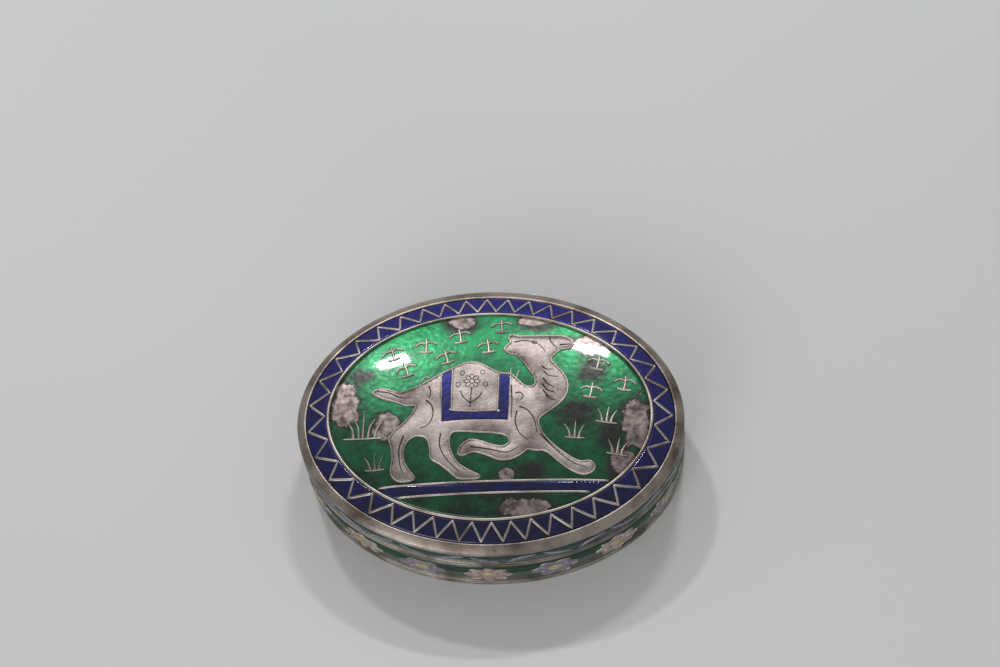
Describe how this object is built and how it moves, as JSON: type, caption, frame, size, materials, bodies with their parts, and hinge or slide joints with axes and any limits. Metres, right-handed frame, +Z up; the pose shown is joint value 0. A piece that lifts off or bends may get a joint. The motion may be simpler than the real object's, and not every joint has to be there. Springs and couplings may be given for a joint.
{
  "type": "snuff box",
  "caption": "Oval enamelled silver snuff box with a domed hinged lid, a zigzag border and a medallion of a walking camel.",
  "frame": {"origin": "middle of the body's oval, on the underside", "axes": "+X along the oval's long axis, +Y towards the hinge, +Z up through the lid"},
  "size_m": [0.082, 0.0639, 0.0214],
  "materials": {
    "silver": "worn, lightly tarnished silver",
    "pale_silver": "bare engraved silver with a pinkish cast",
    "green_enamel": "glossy translucent enamel",
    "blue_enamel": "glossy translucent enamel",
    "pink_enamel": "opaque enamel",
    "lilac_enamel": "opaque enamel"
  },
  "bodies": {
    "body": {"base_plate": "silver", "body_wall": "silver", "lid_seat_lining": "silver", "body_enamel": "green_enamel", "body_flower_01": "pink_enamel", "body_flower_02": "lilac_enamel", "body_flower_03": "pink_enamel", "body_flower_04": "lilac_enamel", "body_flower_05": "pink_enamel", "body_flower_06": "lilac_enamel", "body_flower_07": "pink_enamel", "body_flower_08": "lilac_enamel", "body_flower_09": "lilac_enamel", "body_flower_10": "pink_enamel", "body_flower_11": "lilac_enamel", "body_flower_12": "pink_enamel", "body_flower_13": "lilac_enamel", "body_flower_14": "pink_enamel", "body_flower_15": "lilac_enamel", "body_hinge_leaf": "silver", "hinge_pin": "silver"},
    "lid": {"lid_plate": "silver", "medallion_bezel": "silver", "lid_rim": "silver", "lid_band": "silver", "lid_band_enamel": "green_enamel", "border_enamel": "blue_enamel", "border_zigzag_wire": "silver", "medallion_enamel": "green_enamel", "camel_figure": "pale_silver", "camel_outline_wire": "silver", "saddle_cloth_frame": "silver", "saddle_cloth_enamel": "blue_enamel", "saddle_panel_frame": "silver", "saddle_panel": "pale_silver", "ground_line_enamel": "blue_enamel", "ground_line_upper_wire": "silver", "ground_line_lower_wire": "silver", "sprig_01": "silver", "sprig_02": "silver", "sprig_03": "silver", "sprig_04": "silver", "sprig_05": "silver", "sprig_06": "silver", "sprig_07": "silver", "sprig_08": "silver", "sprig_09": "silver", "sprig_10": "silver", "grass_tuft_1": "silver", "grass_tuft_2": "silver", "grass_tuft_3": "silver", "grass_tuft_4": "silver", "grass_tuft_5": "silver", "lid_hinge_leaf": "silver"}
  },
  "joints": [
    {"name": "lid_hinge", "type": "hinge", "parent": "body", "child": "lid", "pos_m": [0, 0.032, 0.01065], "axis": [-1, 0, 0], "range_deg": [0, 105]}
  ]
}
